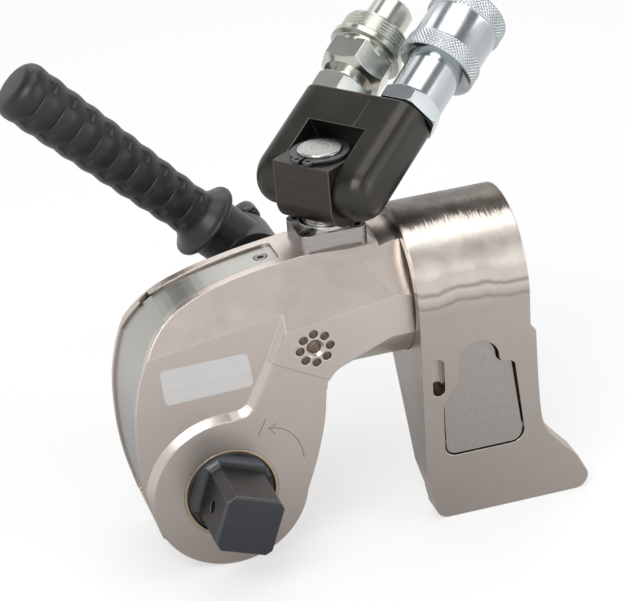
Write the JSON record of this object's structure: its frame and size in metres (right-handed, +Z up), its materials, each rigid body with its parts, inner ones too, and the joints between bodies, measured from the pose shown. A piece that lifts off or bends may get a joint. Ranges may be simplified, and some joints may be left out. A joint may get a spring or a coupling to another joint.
{
  "type": "hydraulic torque wrench",
  "caption": "Square-drive hydraulic torque wrench with a sliding splined reaction arm, a swivelling two-port hose manifold and a side handle.",
  "frame": {"origin": "on the square drive's axis, at the middle plane of the head", "axes": "+X along the hydraulic cylinder from the head to its free end, +Y away from the square drive, +Z up from the drive to the cylinder"},
  "size_m": [0.219, 0.1593, 0.2155],
  "materials": {
    "satin_nickel": "satin nickel plate over machined alloy steel",
    "brushed_strip": "brushed stainless steel",
    "zinc_screw": "dull zinc",
    "bronze_bush": "gold-coloured bearing bronze",
    "black_oxide": "black oxide alloy steel, low sheen",
    "tool_steel": "plain ground tool steel",
    "ground_steel": "ground steel",
    "spring_steel": "bright spring wire",
    "seal_rubber": "black seal rubber",
    "worn_nickel": "satin nickel plate, worn and brushed on the collar",
    "bronze_black": "bronze-black oxide, low sheen",
    "base_steel": "light machined steel",
    "zinc_coupler": "bright zinc plate",
    "grip_rubber": "matt black rubber",
    "black_plastic": "glossy black phenolic",
    "black_coat": "black coat"
  },
  "bodies": {
    "housing": {"housing": "satin_nickel", "shroud": "brushed_strip", "shroud_screws": "zinc_screw", "drive_bush_front": "bronze_bush", "drive_bush_back": "bronze_bush", "holding_pawl_pin": "ground_steel", "holding_pawl_spring": "spring_steel", "rod_gland": "bronze_bush", "rod_seal": "seal_rubber", "end_cap": "satin_nickel", "end_cap_seal": "seal_rubber", "swivel_base": "base_steel", "swivel_screws": "black_coat", "swivel_post": "base_steel", "post_seals": "seal_rubber", "circlip": "black_oxide", "handle_hub": "black_coat", "index_pins": "ground_steel", "handle_elbow": "black_coat", "handle_core": "ground_steel", "grip": "grip_rubber"},
    "wheel": {"ratchet_wheel": "tool_steel", "retaining_cap": "black_oxide"},
    "drive": {"square_drive": "black_oxide"},
    "button": {"release_button": "ground_steel", "button_spring": "spring_steel"},
    "lever": {"drive_lever": "tool_steel", "lever_pin": "ground_steel", "drive_pawl_pin": "ground_steel", "drive_pawl_spring": "spring_steel"},
    "drive_pawl": {"drive_pawl": "tool_steel"},
    "holding_pawl": {"holding_pawl": "tool_steel"},
    "piston": {"piston": "ground_steel", "piston_rod": "ground_steel", "rod_nut": "ground_steel", "piston_seal": "seal_rubber"},
    "arm": {"reaction_arm": "worn_nickel", "lock_lever_pin": "ground_steel"},
    "lock_lever": {"lock_lever": "satin_nickel", "lock_lever_spring": "spring_steel"},
    "swivel_block": {"swivel_block": "bronze_black"},
    "manifold": {"manifold": "bronze_black", "cross_pins": "ground_steel", "port_plug": "black_coat", "male_adapter": "zinc_coupler", "male_coupler": "zinc_coupler", "female_coupler": "zinc_coupler", "sleeve_clip": "black_oxide"},
    "sleeve": {"female_sleeve": "zinc_coupler"},
    "male_poppet": {"male_poppet": "ground_steel"},
    "female_poppet": {"female_poppet": "ground_steel"},
    "knob": {"star_knob": "black_plastic", "knob_stud": "ground_steel"}
  },
  "joints": [
    {"name": "drive_spin", "type": "hinge", "parent": "housing", "child": "wheel", "pos_m": [0, 0, 0], "axis": [0, 1, 0], "continuous": true},
    {"name": "drive_withdraw", "type": "slide", "parent": "wheel", "child": "drive", "axis": [0, -1, 0], "range_m": [0, 0.038]},
    {"name": "button_press", "type": "slide", "parent": "wheel", "child": "button", "axis": [0, -1, 0], "range_m": [0, 0.0016], "stiffness_N_per_m": 400, "springref_m": -0.0005},
    {"name": "piston_stroke", "type": "slide", "parent": "housing", "child": "piston", "axis": [-1, 0, 0], "range_m": [0, 0.0266]},
    {"name": "lever_swing", "type": "hinge", "parent": "housing", "child": "lever", "pos_m": [0, 0, 0], "axis": [0, -1, 0], "range_deg": [0, 22.01]},
    {"name": "drive_pawl_lift", "type": "hinge", "parent": "lever", "child": "drive_pawl", "pos_m": [0.00782, 0, 0.04025], "axis": [0, 1, 0], "range_deg": [0, 4], "stiffness_Nm_per_rad": 0.05, "springref_deg": -5.73},
    {"name": "holding_pawl_lift", "type": "hinge", "parent": "housing", "child": "holding_pawl", "pos_m": [-0.02546, 0, 0.04002], "axis": [0, 1, 0], "range_deg": [0, 4], "stiffness_Nm_per_rad": 0.05, "springref_deg": -5.73},
    {"name": "arm_slide", "type": "slide", "parent": "housing", "child": "arm", "axis": [1, 0, 0], "range_m": [0, 0.05]},
    {"name": "lock_lever_swing", "type": "hinge", "parent": "arm", "child": "lock_lever", "pos_m": [0.106, -0.02561, 0.003], "axis": [1, 0, 0], "range_deg": [-3.5, 10], "stiffness_Nm_per_rad": 0.3},
    {"name": "swivel_spin", "type": "hinge", "parent": "housing", "child": "swivel_block", "pos_m": [0.0573, 0, 0.1193], "axis": [0, 0, 1], "continuous": true},
    {"name": "manifold_tilt", "type": "hinge", "parent": "swivel_block", "child": "manifold", "pos_m": [0.0573, 0, 0.1205], "axis": [0.6018, -0.7986, 0], "range_deg": [-18, 142]},
    {"name": "sleeve_spin", "type": "hinge", "parent": "manifold", "child": "sleeve", "pos_m": [0.13013, 0.03172, 0.16158], "axis": [0.7052, 0.5314, 0.4695], "continuous": true},
    {"name": "male_poppet_press", "type": "slide", "parent": "manifold", "child": "male_poppet", "axis": [-0.7052, -0.5314, -0.4695], "range_m": [0, 0.0028], "stiffness_N_per_m": 300, "springref_m": -0.0005},
    {"name": "female_poppet_press", "type": "slide", "parent": "manifold", "child": "female_poppet", "axis": [-0.7052, -0.5314, -0.4695], "range_m": [0, 0.0028], "stiffness_N_per_m": 300, "springref_m": -0.0005},
    {"name": "knob_turn", "type": "hinge", "parent": "housing", "child": "knob", "pos_m": [0.04108, 0.09, 0.05941], "axis": [0, 1, 0], "continuous": true}
  ],
  "couplings": [
    {"joint": "lever_swing", "follows": "piston_stroke", "rad_per_m": 14.436}
  ]
}
